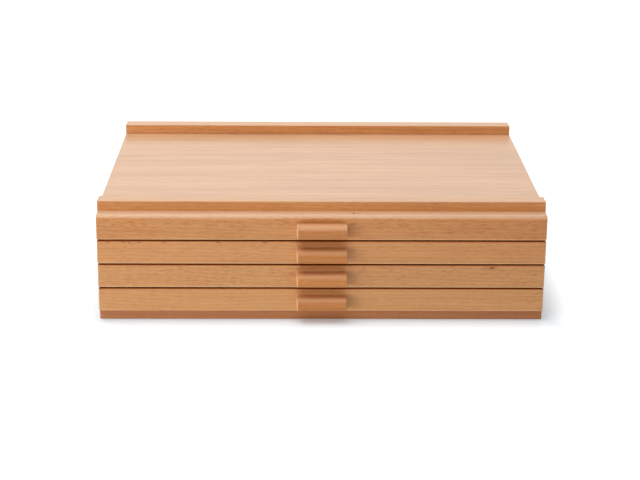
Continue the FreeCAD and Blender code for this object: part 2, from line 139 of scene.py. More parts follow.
class StageLook(bpy.types.PropertyGroup):
    camera_place: FloatVectorProperty(
        name="Camera", description="Where the camera stands", subtype="TRANSLATION", size=3, unit="LENGTH",
        default=(-0.02466, -1.42796, 0.53371))
    camera_pitch: angle("Pitch", "How far the camera looks down", 0.33888)
    camera_yaw: angle("Yaw", "How far the camera turns to the left", -0.01768)
    camera_roll: angle("Roll", "How far the picture leans clockwise", 0.00811)
    camera_lens: FloatProperty(
        name="Lens", description="Focal length on a 36 mm wide sensor, in millimetres", default=86.97,
        min=10)
    floor_size: length("Floor", "Width of the floor", 14.0, 1.0, 100.0)
    key_power: amount("Key", "Power of the soft light overhead, in watts", 18.3)
    front_power: amount("Front", "Power of the soft light above the front, in watts", 12.3)
    fill_power: amount("Fill", "Power of the low soft light from the left, in watts", 6.2)
    sky_strength: amount("Surround", "Strength of the even surrounding light", 0.16)
    floor_lift: amount("Floor lift", "White added to the floor under the box, as the camera sees it", 0.22)
    shadow_reach: length(
        "Shadow reach", "How far the deep shadow reaches over the floor", 36 * MM, 0.001, 1.0)


# Shader maths

class Value:
    """A socket of a material whose numbers can be written as sums and products."""

    def __init__(self, finish, socket):
        self.finish = finish
        self.socket = socket

    def maths(self, operation, *others, clamp=False):
        inputs = dict(enumerate((self, *others)))
        return self.finish.node("ShaderNodeMath", {"operation": operation, "use_clamp": clamp}, inputs)

    def swapped(self, operation, other):
        return self.finish.node("ShaderNodeMath", {"operation": operation}, {0: other, 1: self})

    def __add__(self, other):
        return self.maths("ADD", other)

    __radd__ = __add__

    def __sub__(self, other):
        return self.maths("SUBTRACT", other)

    def __rsub__(self, other):
        return self.swapped("SUBTRACT", other)

    def __mul__(self, other):
        return self.maths("MULTIPLY", other)

    __rmul__ = __mul__

    def __truediv__(self, other):
        return self.maths("DIVIDE", other)

    def __rtruediv__(self, other):
        return self.swapped("DIVIDE", other)

    def __pow__(self, other):
        return self.maths("POWER", other)

    def absolute(self):
        return self.maths("ABSOLUTE")

    def clamped(self):
        return self.maths("ADD", 0.0, clamp=True)

    def ramp(self, low, high):
        """0 below low, 1 above high, and smooth between them."""
        settings = {"interpolation_type": "SMOOTHSTEP", "clamp": True}
        inputs = {"Value": self, "From Min": low, "From Max": high}
        return self.finish.node("ShaderNodeMapRange", settings, inputs)


class Finish:
    """One material, built node by node around a Principled shader."""

    def __init__(self, name):
        self.material = bpy.data.materials.new(name)
        self.material.use_nodes = True
        self.tree = self.material.node_tree
        self.tree.nodes.clear()
        self.shader = self.tree.nodes.new("ShaderNodeBsdfPrincipled")
        self.output = self.tree.nodes.new("ShaderNodeOutputMaterial")
        self.tree.links.new(self.shader.outputs[0], self.output.inputs["Surface"])

    def put(self, socket, value):
        """Link a value to a socket, or set the socket to a number, a colour or a vector."""
        if isinstance(value, Value):
            self.tree.links.new(value.socket, socket)
        else:
            socket.default_value = value

    def node(self, kind, settings, inputs, output=0):
        made = self.tree.nodes.new(kind)
        for key, value in settings.items():
            setattr(made, key, value)
        for key, value in inputs.items():
            self.put(made.inputs[key], value)
        return Value(self, made.outputs[output])

    def feed(self, **inputs):
        """Link or set sockets of the shader, with _ written for a space."""
        for key, value in inputs.items():
            self.put(self.shader.inputs[key.replace("_", " ")], value)

    def mix(self, factor, first, second):
        """One colour turning into another."""
        inputs = {0: factor}
        for key, colour in ((6, first), (7, second)):
            inputs[key] = colour if isinstance(colour, Value) else (*colour, 1.0)
        return self.node("ShaderNodeMix", {"data_type": "RGBA", "clamp_factor": True}, inputs, 2)

    def reach(self, axes, centre, sizes):
        """Distance from a place, in shares of the sizes along the axes."""
        total = 0.0
        for axis, middle, size in zip(axes, centre, sizes):
            part = (axis - middle) / size
            total = part * part + total
        return total ** 0.5

    def axes(self, vector):
        return [self.node("ShaderNodeSeparateXYZ", {}, {0: vector}, axis) for axis in "XYZ"]


# Wood

GRAIN_TURN = {"X": (0.0, 0.0, 0.0), "Y": (0.0, 0.0, -math.pi / 2)}
GRAIN_AXIS = {"X": X, "Y": Y}

# How far a seed moves a board in its log: metres along the grain, and a swing and its pace for the rest
SHIFT_ALONG = 0.731
SWING_ACROSS, PACE_ACROSS = 0.083, 2.4
SWING_UP, PACE_UP = 0.061, 1.7

# Each noise's fineness along the grain and across it, its detail, roughness and sway with the ripple
RIPPLE = (24.0, 60.0, 3.0, 0.55, 0.0)
WANDER = (3.2, 9.0, 2.0, 0.55, 0.0)
FIBRE = (34.0, 1500.0, 4.0, 0.65, 0.0)
CLOUD = (3.0, 26.0, 3.0, 0.55, 0.0)
STREAK = (7.0, 260.0, 3.0, 0.55, 0.0)
FINE_FLECKS = (170.0, 1450.0, 2.0, 0.5, 0.008)
RAY_FLECKS = (110.0, 1000.0, 2.0, 0.5, 0.008)
FLECK_PLACES = (18.0, 70.0, 1.0, 0.55, 0.0)

# How the growth rings stray: metres sideways, metres in depth, a ripple in depth, a lean, and turns
SIDE_WANDER = 0.030
DEPTH_WANDER = 0.016
DEPTH_RIPPLE = 0.0022
LEAN = 0.012
TURN_WANDER = 9.0
RING_POWER = 2.2
HEART_TURNS = 30.0
HEART_CONTRAST = 3.0

# Where noise starts to be a fleck and is a full one, and how the two kinds of fleck are shared out
FINE_RAMP = (0.48, 0.66)
RAY_RAMP = (0.52, 0.68)
PLACE_RAMP = (0.22, 0.58)
FINE_SHARE, RAY_SHARE = 0.55, 0.45
IN_PLACE, ANYWHERE = 0.6, 0.4

# How much each mark of the grain counts in the depth of tone
RING_WEIGHT = 0.45
FIBRE_WEIGHT = 1.5
CLOUD_WEIGHT = 2.0
STREAK_WEIGHT = 1.7
EVEN_DEPTH = 0.34
FLECK_WEIGHT = 0.88

# Where the upward part of a face's normal, or the square of a part, starts to count and counts in full
OPEN_SLOPE = (0.2, 0.9)
UNDER_SLOPE = (0.3, 0.9)
OVER_SLOPE = (0.1, 0.7)
END_SQUARE = (0.45, 0.9)
LEVEL_SQUARE = (0.15, 0.6)
PLY_SQUARE = (0.3, 0.6)

# Darker end grain and ply edges, as shares of the wood's tones and of the whole
END_TONE = 0.62
END_SHARE = 0.75
PLY_PALE = 0.80
PLY_DEEP = 0.55
PLY_SHARE = 0.85

# Soft edges: the full share of an edge's paled width and its raggedness, and how a patch of painted shade
# or light beside a pull fades
RUB_FULL = 0.35
RUB_RAGGED = 0.5
FADE_INSIDE = 7.0 * MM
FADE_OUTSIDE = 1.0 * MM
FADE_BEFORE = -0.08

# Knots, in shares of their size: a faint halo, a dark core and a ragged outline
HALO_RAMP = (0.55, 2.6)
HALO_SHARE = 0.45
CORE_RAMP = (0.35, 1.0)
KNOT_RAGGED = 0.8

FIBRE_RELIEF = 0.5
FLECK_RELIEF = 0.6
BUMP_STRENGTH = 0.10
BUMP_DISTANCE = 0.15 * MM
FIBRE_ROUGHNESS = 0.16
END_ROUGHNESS = 0.14


@dataclass
class Wood:
    """How one kind of wood is coloured and sealed.

    pith is how far the board lies from the centre of its log, across and up, and heart the centre and size
    of a flame in the figure. The edge list holds (axis, edge, width, strength): edges paled partly from
    rubbing, partly as painted highlight. The patch list holds (axis, start, end, half width, share, tone):
    painted shade and painted light beside the pulls.
    """
    light: tuple
    dark: tuple
    roughness: float
    lacquer: float = 0.0
    rings: float = 0.55
    fibres: float = 0.46
    clouds: float = 0.5
    flecks: float = 0.6
    pith: tuple = (0.05, -0.03)
    spread: float = 1.0
    tint: tuple = (1.0, 1.0, 1.0)
    upper: tuple = ()
    upper_highlight_share: float = 0.0
    gap_shade_tone: tuple = ()
    heart: tuple = ()
    worn_and_lit_edges: tuple = ()
    handled: tuple = ()

    def __post_init__(self):
        self.light = [part * share for part, share in zip(self.light, self.tint)]
        self.dark = [part * share for part, share in zip(self.dark, self.tint)]


class WoodFinish(Finish):
    """Plain-sawn beech: rings about a distant pith, fibres, ray flecks, pin knots and darker end grain."""

    def __init__(self, name, wood, seed, grain):
        super().__init__(name)
        self.wood = wood
        self.look = bpy.context.scene.box_wood
        self.dull = 0.0
        self.place_board(seed, grain)
        self.draw_grain()
        self.paint_upper_highlight()
        self.paint_gap_shade()
        self.darken_end_grain()
        self.paint_edge_wear_and_highlight()
        self.paint_pull_shading()

    def place_board(self, seed, grain):
        """Find where a point lies in the log, elsewhere for each seed, and which way its face looks."""
        place = self.node("ShaderNodeTexCoord", {}, {}, "Object")
        self.place = self.axes(place)
        self.shift = (
            SHIFT_ALONG * seed, SWING_ACROSS * math.sin(seed * PACE_ACROSS),
            SWING_UP * math.cos(seed * PACE_UP))
        board = self.node(
            "ShaderNodeMapping", {"vector_type": "POINT"},
            {"Vector": place, "Location": self.shift, "Rotation": GRAIN_TURN[grain]})
        self.along, self.across, self.up = self.axes(board)
        facing = self.axes(self.node("ShaderNodeNewGeometry", {}, {}, "Normal"))
        self.slope = facing[Z]
        end = facing[GRAIN_AXIS[grain]]
        self.end_grain = (end * end).ramp(*END_SQUARE)

    def noise(self, fine_along, fine_across, detail, roughness, sway):
        level = self.up + self.ripple * sway if sway else self.up
        spot = self.node(
            "ShaderNodeCombineXYZ", {},
            {0: self.along * fine_along, 1: self.across * fine_across, 2: level * fine_across})
        return self.node(
            "ShaderNodeTexNoise", {},
            {"Vector": spot, "Scale": 1.0, "Detail": detail, "Roughness": roughness})

    def growth_rings(self):
        wood = self.wood
        wander = self.noise(*WANDER) - 0.5
        side = self.across + wander * SIDE_WANDER + (wood.pith[0] - self.shift[1])
        depth = (
            self.up + wander * DEPTH_WANDER + self.ripple * DEPTH_RIPPLE + self.along * LEAN
            + (wood.pith[1] - self.shift[2]))
        radius = (side * side + depth * depth) ** 0.5
        turn = radius * (math.tau / (wood.spread * self.look.ring_spacing)) + wander * TURN_WANDER
        contrast = 1.0
        if wood.heart:
            hill = 1.0 / (1.0 + self.reach(self.place[:2], *wood.heart) ** 2.0)
            turn = turn + hill * hill * HEART_TURNS
            contrast = hill * HEART_CONTRAST + 1.0
        return (turn.maths("SINE") * 0.5 + 0.5) ** RING_POWER * contrast

    def draw_grain(self):
        wood = self.wood
        self.ripple = self.noise(*RIPPLE) - 0.5
        self.ring = self.growth_rings()
        self.fibre = self.noise(*FIBRE)
        self.streak = self.noise(*STREAK)
        fine_flecks = self.noise(*FINE_FLECKS).ramp(*FINE_RAMP)
        ray_flecks = self.noise(*RAY_FLECKS).ramp(*RAY_RAMP)
        fleck_places = self.noise(*FLECK_PLACES).ramp(*PLACE_RAMP)
        self.fleck = (
            (fine_flecks * FINE_SHARE + ray_flecks * RAY_SHARE) * (fleck_places * IN_PLACE + ANYWHERE))
        depth_of_tone = (
            self.ring * (RING_WEIGHT * wood.rings)
            + (self.fibre - 0.5) * (FIBRE_WEIGHT * wood.fibres)
            + (self.noise(*CLOUD) - 0.5) * (CLOUD_WEIGHT * wood.clouds)
            + (self.streak - 0.5) * (STREAK_WEIGHT * wood.fibres)
            + EVEN_DEPTH)
        self.colour = self.mix(depth_of_tone.clamped(), wood.light, wood.dark)
        self.blend(self.fleck * (FLECK_WEIGHT * wood.flecks), self.look.fleck)

    def blend(self, factor, colour):
        self.colour = self.mix(factor, self.colour, colour)

    def paint_upper_highlight(self):
        # Painted highlight: upward faces paled as if lit from overhead
        if self.wood.upper:
            most = self.wood.upper_highlight_share or self.look.upper_highlight_share
            self.blend(self.slope.ramp(*OPEN_SLOPE) * most, self.wood.upper)

    def paint_gap_shade(self):
        """Darken and dull with painted shade what shows only as a line between two boards, in the gaps'
        shade; upper faces with a painted highlight stay open.
        """
        if not self.wood.gap_shade_tone:
            return
        below = (0.0 - self.slope).ramp(*UNDER_SLOPE)
        self.blend(below * self.look.gap_shade_under, self.wood.gap_shade_tone)
        self.dull = below
        if not self.wood.upper:
            above = self.slope.ramp(*OVER_SLOPE)
            self.blend(above * self.look.gap_shade_over, self.wood.gap_shade_tone)
            self.dull = below + above

    def darken_end_grain(self):
        mottle = (self.ring * 0.5 + self.fibre * 0.5).clamped()
        deep = [END_TONE * part for part in self.wood.dark]
        self.blend(self.end_grain * END_SHARE, self.mix(mottle, self.wood.dark, deep))

    def paint_edge_wear_and_highlight(self):
        """Pale a ragged line along edges of upright faces, partly from rubbing and partly a painted
        highlight along arrises that catch the light.
        """
        for axis, edge, width, strength in self.wood.worn_and_lit_edges:
            ragged_width = width + (self.streak - 0.5) * (RUB_RAGGED * width)
            lightening = 1.0 - (self.place[axis] - edge).absolute().ramp(RUB_FULL * width, ragged_width)
            upright = 1.0 - (self.slope * self.slope).ramp(*LEVEL_SQUARE)
            self.blend(lightening * upright * (strength * self.look.edge_wear_and_highlight), self.look.rubbed)

    def paint_pull_shading(self):
        """Tone patches as wide as a pull, strongest at their start and gone at their end: painted shade
        where a pull's shadow falls, and painted light against contact shade.
        """
        for axis, start, end, half_width, most, colour in self.wood.handled:
            sideways = 1.0 - self.place[X].absolute().ramp(
                half_width - FADE_INSIDE, half_width + FADE_OUTSIDE)
            away = (self.place[axis] - start) / (end - start)
            patch = sideways * away.ramp(FADE_BEFORE, 0.0) * (1.0 - away.ramp(0.0, 1.0))
            self.blend(patch * most, colour)
            self.dull = (patch + self.dull).clamped()

    def show_plies(self, start, thick, repeat):
        """Band the edges from a first layer's height, with a layer's thickness, in stacks that repeat."""
        stack = (self.place[Z] - start) / repeat
        layer = (stack.maths("FRACT") * (repeat / thick)).maths("FLOOR")
        edge = 1.0 - (self.slope * self.slope).ramp(*PLY_SQUARE)
        pale = [PLY_PALE * part for part in self.wood.light]
        deep = [PLY_DEEP * part for part in self.wood.dark]
        self.blend(edge * PLY_SHARE, self.mix(layer.maths("MODULO", 2.0), pale, deep))

    def add_knots(self, knots):
        for centre, size, strength in knots:
            reach = self.reach(self.place, centre, size) + (self.streak - 0.5) * KNOT_RAGGED
            self.blend((1.0 - reach.ramp(*HALO_RAMP)) * (HALO_SHARE * strength), self.look.fleck)
            self.blend((1.0 - reach.ramp(*CORE_RAMP)) * strength, self.look.knot)

    def seal(self):
        relief = self.fibre * FIBRE_RELIEF - self.fleck * FLECK_RELIEF
        bump = self.node(
            "ShaderNodeBump", {}, {"Strength": BUMP_STRENGTH, "Distance": BUMP_DISTANCE, "Height": relief})
        roughness = (
            self.wood.roughness + (self.fibre - 0.5) * FIBRE_ROUGHNESS + self.end_grain * END_ROUGHNESS)
        self.feed(
            Base_Color=self.colour, Roughness=roughness, Normal=bump,
            Specular_IOR_Level=self.look.wood_specular)
        if self.wood.lacquer:
            self.feed(
                Coat_Weight=(1.0 - self.dull) * self.wood.lacquer,
                Coat_Roughness=self.look.lacquer_roughness)


def wood_finish(name, wood, seed, grain="X", knots=(), plies=()):
    finish = WoodFinish(name, wood, seed, grain)
    if plies:
        finish.show_plies(*plies)
    finish.add_knots(knots)
    finish.seal()
    return finish.material


# Steel

STEEL_FINENESS = 900.0
STEEL_DETAIL = 3.0
STEEL_DULL = 0.72
STEEL_RAMP = (0.35, 0.7)
STEEL_ROUGHNESS = 0.24
STEEL_CLOUDING = 0.25


def steel_finish(name):
    """Zinc-plated steel with a faint cloudiness."""
    look = bpy.context.scene.box_wood
    finish = Finish(name)
    place = finish.node("ShaderNodeTexCoord", {}, {}, "Object")
    cloud = finish.node(
        "ShaderNodeTexNoise", {}, {"Vector": place, "Scale": STEEL_FINENESS, "Detail": STEEL_DETAIL})
    dull = [STEEL_DULL * part for part in look.steel]
    finish.feed(
        Base_Color=finish.mix(cloud.ramp(*STEEL_RAMP), look.steel, dull),
        Roughness=cloud * STEEL_CLOUDING + STEEL_ROUGHNESS, Metallic=1.0)
    return finish.material


# Modelling helpers

MERGE_WITHIN = 2e-6
FLAT_WITHIN = math.radians(0.5)
SMOOTH_WITHIN = math.radians(32)
SHARP_BEYOND = math.radians(40)
SHORTEST_ARRIS = 2.4 * MM
RECESS_TAPER = 0.45
ARRIS_SEGMENTS = 3
HEAD_FACING = 0.99


def body_of(node):
    for body, members in BODIES.items():
        if node in members:
            return body
    raise RuntimeError(f"{node} is in no body")


def deselect():
    bpy.ops.object.select_all(action="DESELECT")


def only(thing):
    """Make one object the selected and active one."""
    deselect()
    thing.select_set(True)
    bpy.context.view_layer.objects.active = thing


def dress(thing, material):
    thing.data.materials.clear()
    thing.data.materials.append(material)


def sharp_arris(edge):
    """True for an outward edge between two flat faces, long enough to be sanded."""
    if len(edge.link_faces) != 2 or edge.calc_length() < SHORTEST_ARRIS:
        return False
    return edge.is_convex and edge.calc_face_angle(0.0) > SHARP_BEYOND


def board_copy(node, ending):
    """A piece with a whole mesh of its own that takes the place of one of the frame's nodes."""
    source = frame["nodes"][node]
    piece = bpy.data.objects.new(node + ending, source.data.copy())
    bpy.context.scene.collection.objects.link(piece)
    only(piece)
    bpy.ops.object.mode_set(mode="EDIT")
    bpy.ops.mesh.select_mode(type="EDGE")
    bpy.ops.mesh.select_all(action="SELECT")
    bpy.ops.mesh.remove_doubles(threshold=MERGE_WITHIN)
    bpy.ops.mesh.dissolve_limited(angle_limit=FLAT_WITHIN)
    bpy.ops.object.mode_set(mode="OBJECT")
    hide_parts(node)
    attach(piece, body_of(node))
    return piece


def sanded_copy(node):
    """A board of its own mesh, from the frame's board, with its arrises sanded over."""
    piece = board_copy(node, "_wood")
    bpy.ops.object.mode_set(mode="EDIT")
    bpy.ops.mesh.select_all(action="DESELECT")
    drawn = bmesh.from_edit_mesh(piece.data)
    for edge in drawn.edges:
        edge.select_set(sharp_arris(edge))
    bmesh.update_edit_mesh(piece.data)
    width = bpy.context.scene.box_wood.arris
    bpy.ops.mesh.bevel(offset=width, segments=ARRIS_SEGMENTS, affect="EDGES", clamp_overlap=True)
    bpy.ops.object.mode_set(mode="OBJECT")
    bpy.ops.object.shade_smooth_by_angle(angle=SMOOTH_WITHIN)
    bpy.ops.object.modifier_add(type="WEIGHTED_NORMAL")
    piece.modifiers[-1].keep_sharp = True
    bpy.ops.object.modifier_apply(modifier=piece.modifiers[-1].name)
    return piece


def cross_cutter(centre, facing, look):
    """Two crossed bars, tapered like a driver's tip, that reach into a screw head."""
    bars = []
    for sides in ((look.recess_width, look.recess_bar), (look.recess_bar, look.recess_width)):
        deselect()
        bpy.ops.mesh.primitive_cube_add(size=1.0, location=(0.0, 0.0, 0.0))
        bar = bpy.context.active_object
        bpy.ops.object.mode_set(mode="EDIT")
        bpy.ops.transform.resize(value=(*sides, 2.0 * look.recess_depth))
        drawn = bmesh.from_edit_mesh(bar.data)
        for vertex in drawn.verts:
            vertex.select_set(vertex.co.z < 0.0)
        drawn.select_flush_mode()
        bmesh.update_edit_mesh(bar.data)
        bpy.ops.transform.resize(value=(RECESS_TAPER, RECESS_TAPER, 1.0))
        bpy.ops.object.mode_set(mode="OBJECT")
        turn = Vector((0.0, 0.0, 1.0)).rotation_difference(facing).to_matrix().to_4x4()
        bar.data.transform(Matrix.Translation(centre) @ turn)
        bars.append(bar)
    return bars


def recessed_screws(node, facing):
    """The frame's screws with a cross recess cut into each head."""
    look = bpy.context.scene.box_wood
    screws = board_copy(node, "_steel")
    facing = Vector(facing)
    heads = [
        face.center.copy() for face in screws.data.polygons
        if face.normal.dot(facing) > HEAD_FACING and face.area > look.recess_width ** 2]
    if not heads:
        raise RuntimeError(f"{node} shows no screw heads")
    for centre in heads:
        for bar in cross_cutter(centre, facing, look):
            only(screws)
            bpy.ops.object.modifier_add(type="BOOLEAN")
            cut = screws.modifiers[-1]
            cut.operation = "DIFFERENCE"
            cut.solver = "EXACT"
            cut.object = bar
            bpy.ops.object.modifier_apply(modifier=cut.name)
            bpy.data.objects.remove(bar)
    only(screws)
    bpy.ops.object.shade_smooth_by_angle(angle=SMOOTH_WITHIN)
    return screws


# How boards differ: tints, flecks, pin knots (centre, size, strength), shares of lacquer and ply layers

# Painted shade: the base is a darker copy of the front wood, for the shade under the bottom front
BASE_SHADE_TINT = (0.88, 0.73, 0.64)
VENEER_TINT = (1.0, 0.85, 0.67)
VENEER_HEART = ((0.105, 0.135), (0.070, 0.022))
STRIP_TINTS = {"front_lip": (0.97, 0.94, 0.80), "rear_rail": (1.06, 1.08, 1.05)}
FRONT_TINTS = {
    "drawer_1": (0.97, 0.955, 0.945), "drawer_2": (1.01, 0.99, 0.90),
    "drawer_3": (1.06, 1.12, 1.08), "drawer_4": (1.08, 1.13, 1.09)}
FRONT_FLECKS = {"drawer_1": 0.85, "drawer_2": 0.55, "drawer_3": 0.9, "drawer_4": 0.45}
FRONT_KNOTS = {
    "drawer_1": (
        ((0.0281, -0.1270, 0.1001), (0.0012, 0.0014, 0.0010), 0.9),
        ((0.0325, -0.1272, 0.1001), (0.0008, 0.0012, 0.0010), 0.8)),
    "drawer_2": tuple(
        ((x, -0.1340, 0.0752), (0.0018, 0.0014, 0.0007), 0.8)
        for x in (-0.190, -0.176, -0.171, -0.162, -0.140, -0.092, -0.051)),
    "drawer_3": (((0.1523, -0.1340, 0.0514), (0.0033, 0.0016, 0.0014), 0.95),),
}
VENEER_LACQUER = 0.85
STRIP_LACQUER = 0.7
TOP_FRONT_LACQUER = 0.35
PULL_LACQUER = 0.3
TOP_PULL_TINT = (0.80, 0.69, 0.57)
PULL_TINT = (0.90, 0.77, 0.61)
TOP_LAYERS = 5
FLOOR_LAYERS = 3

# Painted shade and painted light beside the pulls: how far each patch reaches and how strong it is
TOP_SHADE_REACH, TOP_SHADE = 6.5 * MM, 1.6
SHADE_REACH, SHADE = 9.0 * MM, 1.1
# Painted light just above a lower pull and at the back of a lower pull's top, against contact shade
PATCH_LIGHT_REACH, PATCH_LIGHT = 2.6 * MM, 0.42
PULL_TOP_LIGHT_REACH, PULL_TOP_LIGHT = 5.0 * MM, 0.55


# Operators, one for each group of pieces

class CaseBoards(bpy.types.Operator):
    """Sand and finish the boards of the case"""
    bl_idname = "artbox.case_boards"
    bl_label = "Case boards"

    def execute(self, context):
        look = context.scene.box_wood
        solid = Wood(look.front_light, look.front_dark, look.sealed_roughness, look.lacquer)
        deep = Wood(look.front_light, look.front_dark, look.sealed_roughness, look.lacquer, tint=BASE_SHADE_TINT)
        sheet = Wood(
            look.ply_light, look.ply_dark, look.bare_roughness, rings=0.7, flecks=0.3, pith=(0.02, -0.015))
        bare = Wood(look.front_light, look.front_dark, look.bare_roughness)
        runner = wood_finish("runner_beech", bare, 15.0, "Y")
        boards = (
            ("base_panel", wood_finish("base_beech", deep, 11.0)),
            ("left_side_panel", wood_finish("left_side_beech", solid, 12.0, "Y")),
            ("right_side_panel", wood_finish("right_side_beech", solid, 13.0, "Y")),
            ("back_panel", wood_finish("back_plywood", sheet, 14.0)),
            ("left_runners", runner),
            ("right_runners", runner),
        )
        for node, material in boards:
            dress(sanded_copy(node), material)
        return {"FINISHED"}


class TopBoards(bpy.types.Operator):
    """Sand and finish the top panel and its two edge strips"""
    bl_idname = "artbox.top_boards"
    bl_label = "Top panel and strips"

    def execute(self, context):
        look = context.scene.box_wood
        # The veneer and the strips get a painted highlight on their upward faces
        veneer = Wood(
            look.top_light, look.top_dark, look.sealed_roughness, VENEER_LACQUER * look.lacquer, rings=0.35,
            fibres=1.25, clouds=1.0, pith=(-0.11, -0.055), spread=1.5, tint=VENEER_TINT, upper=look.top_sheen,
            heart=VENEER_HEART)
        low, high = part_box("top_panel")
        layers = (low[Z], (high[Z] - low[Z]) / TOP_LAYERS, 1.0)
        dress(sanded_copy("top_panel"), wood_finish("top_veneer", veneer, 21.0, plies=layers))
        for seed, (node, tint) in enumerate(STRIP_TINTS.items(), start=22):
            strip = Wood(
                look.front_light, look.front_dark, look.sealed_roughness, STRIP_LACQUER * look.lacquer,
                fibres=0.80, pith=(0.09, 0.05), tint=tint, upper=look.top_sheen)
            dress(sanded_copy(node), wood_finish(f"{node}_beech", strip, seed))
        return {"FINISHED"}


class DrawerFronts(bpy.types.Operator):
    """Sand and finish the drawer fronts, each from a board of its own"""
    bl_idname = "artbox.drawer_fronts"
    bl_label = "Drawer fronts"

    def execute(self, context):
        look = context.scene.box_wood
        for number, drawer in enumerate(DRAWERS, start=1):
            low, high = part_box(f"{drawer}_front")
            half_width, _, pull_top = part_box(f"{drawer}_pull")[1]
            if drawer == TOP_DRAWER:
                own = self.top_look(look, half_width, pull_top)
            else:
                own = self.lower_look(look, half_width, pull_top, high[Z])
            beech = Wood(
                look.front_light, look.front_dark, look.sealed_roughness, flecks=FRONT_FLECKS[drawer],
                pith=(0.06 + 0.02 * number, -0.05 + 0.02 * number), tint=FRONT_TINTS[drawer],
                # Painted shade in the gaps between fronts; the edge list pales arrises partly from rubbing,
                # partly as painted highlight
                gap_shade_tone=look.stained, worn_and_lit_edges=(
                    (Z, low[Z], 1.5 * MM, 2.6), (X, low[X], 1.2 * MM, 1.0), (X, high[X], 1.2 * MM, 1.0)),
                **own)
            material = wood_finish(
                f"front_beech_{number}", beech, 30.0 + number, knots=FRONT_KNOTS.get(drawer, ()))
            dress(sanded_copy(f"{drawer}_front"), material)
        return {"FINISHED"}

    def top_look(self, look, half_width, pull_top):
        """The top front: a painted highlight on its rounded top edge, little lacquer left, and strong
        painted shade above its pull.
        """
        shade_patch = (
            Z, pull_top, pull_top + TOP_SHADE_REACH, half_width, TOP_SHADE * look.pull_shade_share, look.handled)
        return {"lacquer": TOP_FRONT_LACQUER * look.lacquer, "upper": look.crest_highlight, "handled": (shade_patch,)}

    def lower_look(self, look, half_width, pull_top, front_top):
        """A lower front: painted light just above its pull, and painted shade down from its upper edge,
        where the pull above casts its shadow.
        """
        lightening = (Z, pull_top, pull_top + PATCH_LIGHT_REACH, half_width, PATCH_LIGHT, look.rubbed)
        shade_patch = (Z, front_top, front_top - SHADE_REACH, half_width, SHADE * look.pull_shade_share, look.handled)
        return {"lacquer": look.lacquer, "handled": (lightening, shade_patch)}


class DrawerPulls(bpy.types.Operator):
    """Sand and finish the block pulls"""
    bl_idname = "artbox.drawer_pulls"
    bl_label = "Drawer pulls"

    def execute(self, context):
        look = context.scene.box_wood
        for number, drawer in enumerate(DRAWERS, start=1):
            low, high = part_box(f"{drawer}_pull")
            own = {"tint": TOP_PULL_TINT}
            if drawer != TOP_DRAWER:
                # Painted light at the back of the pull's top, against the shade under the pull above
                lightening = (Y, high[Y], high[Y] - PULL_TOP_LIGHT_REACH, 2.0 * high[X], PULL_TOP_LIGHT, look.rubbed)
                own = {"tint": PULL_TINT, "handled": (lightening,)}
            beech = Wood(
                look.front_light, look.front_dark, look.bare_roughness, PULL_LACQUER * look.lacquer,
                # Painted highlight on the pull's top; its edges are paled partly from rubbing, partly as
                # painted highlight
                rings=0.4, upper=look.pull_top_highlight, upper_highlight_share=look.pull_top_highlight_share, worn_and_lit_edges=(
                    (X, low[X], 2.0 * MM, 2.2), (X, high[X], 1.0 * MM, 1.0), (Z, low[Z], 0.9 * MM, 1.0)),
                **own)
            material = wood_finish(f"pull_beech_{number}", beech, 40.0 + number)
            dress(sanded_copy(f"{drawer}_pull"), material)
        return {"FINISHED"}


class DrawerBoxes(bpy.types.Operator):
    """Sand and finish the walls, dividers and floors of the drawers"""
    bl_idname = "artbox.drawer_boxes"
    bl_label = "Drawer boxes"

    def execute(self, context):
        look = context.scene.box_wood
        bare = Wood(look.box_light, look.box_dark, look.bare_roughness, rings=0.8, flecks=0.25)
        thin = Wood(
            look.ply_light, look.ply_dark, look.bare_roughness, rings=0.6, flecks=0.2, pith=(0.03, -0.02))
        low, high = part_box("drawer_4_floor")
        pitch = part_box("drawer_3_floor")[0][Z] - low[Z]
        layers = (low[Z], (high[Z] - low[Z]) / FLOOR_LAYERS, pitch)
        lengthwise = wood_finish("drawer_side_wood", bare, 51.0, "Y")
        crosswise = wood_finish("drawer_back_wood", bare, 52.0, "X")
        floor = wood_finish("drawer_floor_plywood", thin, 53.0, "X", plies=layers)
        boards = (
            ("left_wall", lengthwise), ("right_wall", lengthwise), ("back_wall", crosswise),
            ("floor", floor), ("dividers", lengthwise))
        for drawer in DRAWERS:
            for board, material in boards:
                dress(sanded_copy(f"{drawer}_{board}"), material)
        return {"FINISHED"}


class Fasteners(bpy.types.Operator):
    """Finish the screws and pins"""
    bl_idname = "artbox.fasteners"
    bl_label = "Screws and pins"

    def execute(self, context):
        steel = steel_finish("zinc_steel")
        for node, slot in SLOTS.items():
            if node == "base_screws":
                dress(recessed_screws(node, (0.0, 0.0, -1.0)), steel)
            elif node.endswith("_pull_screws"):
                dress(recessed_screws(node, (0.0, 1.0, 0.0)), steel)
            elif slot == "screw_steel":
                dress(frame["nodes"][node], steel)
        return {"FINISHED"}


# Each soft light's name, the property that holds its power, its place, aim, width and height
LIGHTS = (
    ("overhead_softbox", "key_power", (-0.3, 0.55, 1.5), (0.0, 0.10, 0.0), 2.0, 1.8),
    ("front_softbox", "front_power", (-0.25, -0.85, 1.5), (-0.20, -0.65, 0.0), 1.4, 1.0),
    ("low_left_softbox", "fill_power", (-0.95, -1.15, 0.15), (0.0, -0.1, 0.06), 1.0, 0.3),
)

# Near the box the floor is cooler, against the warm light off the wood; away from it the camera sees white
FLOOR_DROP = 0.2 * MM
NEAR_TONE = (0.765, 0.865, 0.93)
FAR_TONE = (0.86, 0.86, 0.86)
TONE_REACH = (0.22, 0.50)
WHITE_REACH = (0.4, 1.3)
BESIDE_SHARE = 0.46
WHITE = (1.0, 1.0, 1.0, 1.0)


